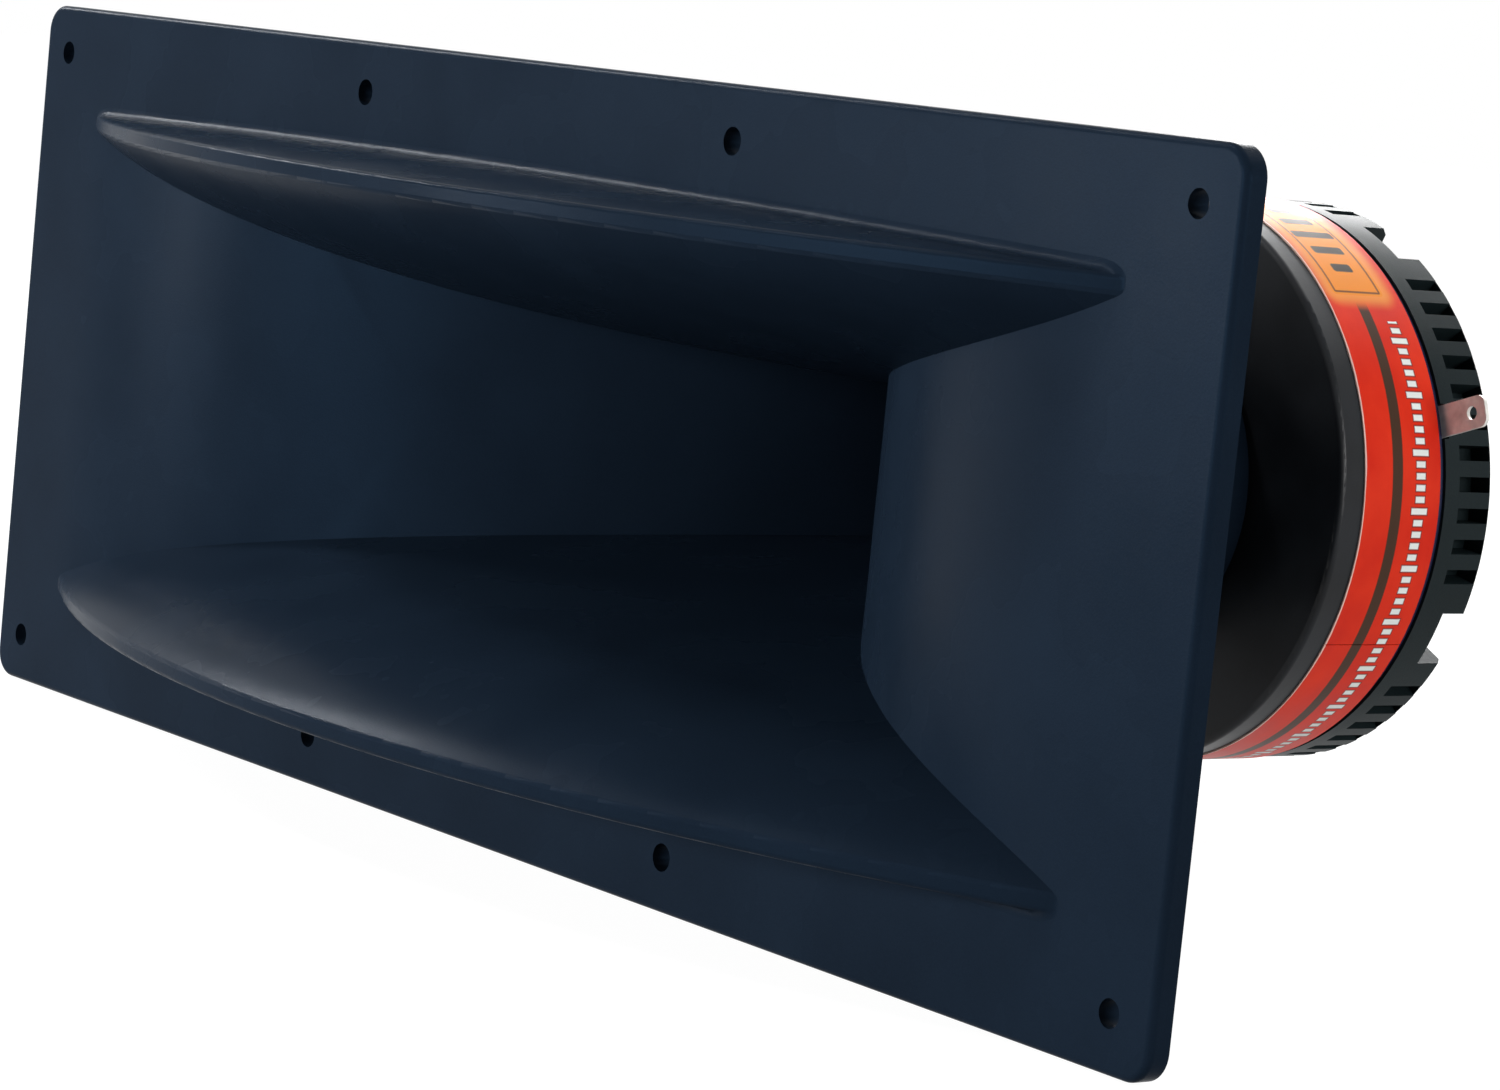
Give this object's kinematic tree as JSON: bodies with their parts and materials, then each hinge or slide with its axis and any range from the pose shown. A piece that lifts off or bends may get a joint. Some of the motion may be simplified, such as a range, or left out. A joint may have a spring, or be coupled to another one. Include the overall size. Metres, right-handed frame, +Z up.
{
  "type": "horn with compression driver",
  "caption": "Rectangular constant-width horn flare with protruding curved lips and a round screw-on compression driver behind it.",
  "frame": {"origin": "centre of the flange's rear face, on the driver's axis, in the middle of the four corner holes", "axes": "+X along the long side of the flange, +Z up, the mouth looks along -Y and the driver stands behind along +Y"},
  "size_m": [0.3074, 0.196, 0.1186],
  "materials": {
    "horn_black": "satin moulded plastic, fine grain",
    "gasket_rubber": "soft foam rubber",
    "plain_steel": "turned steel, zinc plated",
    "black_plate": "satin black paint",
    "ferrite": "dark grey sintered ferrite",
    "label_print": "printed vinyl, orange-red with a dark stripe",
    "plug_plastic": "moulded plastic",
    "titanium": "thin formed foil",
    "copper_clad": "enamelled flat wire",
    "polyimide": "amber film",
    "carrier_plastic": "dark blue moulded plastic",
    "tinned_tab": "tinned brass",
    "cap_plastic": "black moulded plastic",
    "foam": "open-cell foam",
    "screen_cloth": "woven screen",
    "black_screw": "black oxide"
  },
  "bodies": {
    "horn_and_driver": {"absorber_pad": "foam", "back_plate": "black_plate", "cap_screws": "black_screw", "carrier_ring": "carrier_plastic", "coil_leads": "copper_clad", "dust_screen": "screen_cloth", "horn_flare": "horn_black", "label_band": "label_print", "locating_pins": "plain_steel", "magnet_ring": "ferrite", "mounting_gasket": "gasket_rubber", "phase_plug": "plug_plastic", "pole_piece": "plain_steel", "rear_cap": "cap_plastic", "surround": "polyimide", "terminal_left": "tinned_tab", "terminal_right": "tinned_tab", "terminal_rivets": "tinned_tab", "threaded_snout": "plain_steel", "top_plate": "black_plate"},
    "diaphragm": {"diaphragm_dome": "titanium", "coil_former": "polyimide", "voice_coil": "copper_clad"}
  },
  "joints": [
    {"name": "diaphragm_travel", "type": "slide", "parent": "horn_and_driver", "child": "diaphragm", "axis": [0, 1, 0], "range_m": [-0.0004, 0.0004], "stiffness_N_per_m": 20000, "deforming": ["surround", "coil_leads"]}
  ]
}
